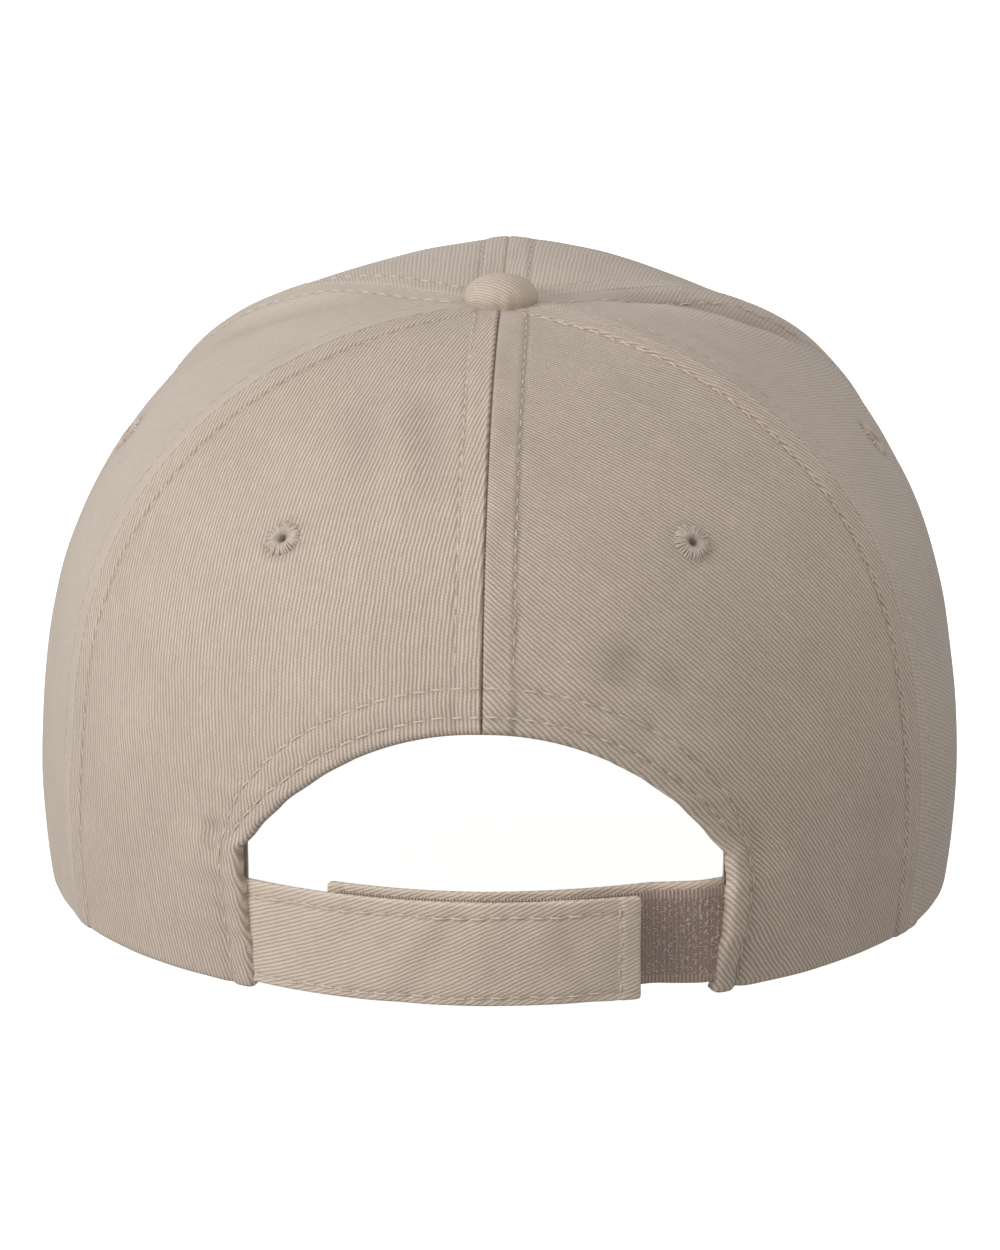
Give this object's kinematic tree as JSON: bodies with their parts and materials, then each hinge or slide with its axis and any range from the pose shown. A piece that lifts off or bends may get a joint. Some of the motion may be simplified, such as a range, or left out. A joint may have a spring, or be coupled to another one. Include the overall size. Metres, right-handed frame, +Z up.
{
  "type": "baseball cap",
  "caption": "Structured cotton twill cap with a curved visor, a covered top button and a hook-and-loop strap across its rear arch.",
  "frame": {"origin": "on the floor under the middle of the cap's outline, the cap standing on the visor's side edges and the back of its rim", "axes": "+Z up, +Y forwards to the visor, +X to the wearer's right"},
  "size_m": [0.1816, 0.2694, 0.1226],
  "materials": {
    "khaki_twill": "brushed cotton twill",
    "strap_twill": "brushed cotton twill",
    "under_twill": "cotton twill",
    "seam_tape_cotton": "woven cotton tape",
    "sweatband_cotton": "cotton twill",
    "buckram": "stiff open weave",
    "sweatband_foam": "soft nonwoven",
    "visor_board_plastic": "matte",
    "button_steel": "plain",
    "eyelet_thread": "polyester thread",
    "hook_tape": "hooked nylon pile",
    "loop_tape": "looped nylon pile"
  },
  "bodies": {
    "cap": {"arch_facing": "seam_tape_cotton", "back_panel_left": "khaki_twill", "back_panel_right": "khaki_twill", "buckram_left": "buckram", "buckram_right": "buckram", "button_cover": "strap_twill", "button_rivet": "button_steel", "button_shell": "button_steel", "eyelet_back_left": "eyelet_thread", "eyelet_back_right": "eyelet_thread", "eyelet_front_left": "eyelet_thread", "eyelet_front_right": "eyelet_thread", "eyelet_side_left": "eyelet_thread", "eyelet_side_right": "eyelet_thread", "front_panel_left": "khaki_twill", "front_panel_right": "khaki_twill", "inner_strap_root": "strap_twill", "outer_strap_root": "strap_twill", "seam_tape_back": "seam_tape_cotton", "seam_tape_front": "seam_tape_cotton", "seam_tape_front_left": "seam_tape_cotton", "seam_tape_front_right": "seam_tape_cotton", "seam_tape_side_left": "seam_tape_cotton", "seam_tape_side_right": "seam_tape_cotton", "side_panel_left": "khaki_twill", "side_panel_right": "khaki_twill", "sweatband_cover": "sweatband_cotton", "sweatband_stiffener": "sweatband_foam", "visor_board": "visor_board_plastic", "visor_top_cover": "khaki_twill", "visor_under_cover": "under_twill"},
    "outer_strap": {"outer_strap": "strap_twill", "hook_patch": "hook_tape"},
    "inner_strap": {"inner_strap": "strap_twill", "loop_patch": "loop_tape"}
  },
  "joints": [
    {"name": "outer_strap_peel", "type": "hinge", "parent": "cap", "child": "outer_strap", "pos_m": [-0.043, -0.1224, 0.011], "axis": [0, 0, -1], "range_deg": [0, 105]},
    {"name": "inner_strap_fold", "type": "hinge", "parent": "cap", "child": "inner_strap", "pos_m": [0.0402, -0.1179, 0.0118], "axis": [0, 0, -1], "range_deg": [0, 50]}
  ]
}
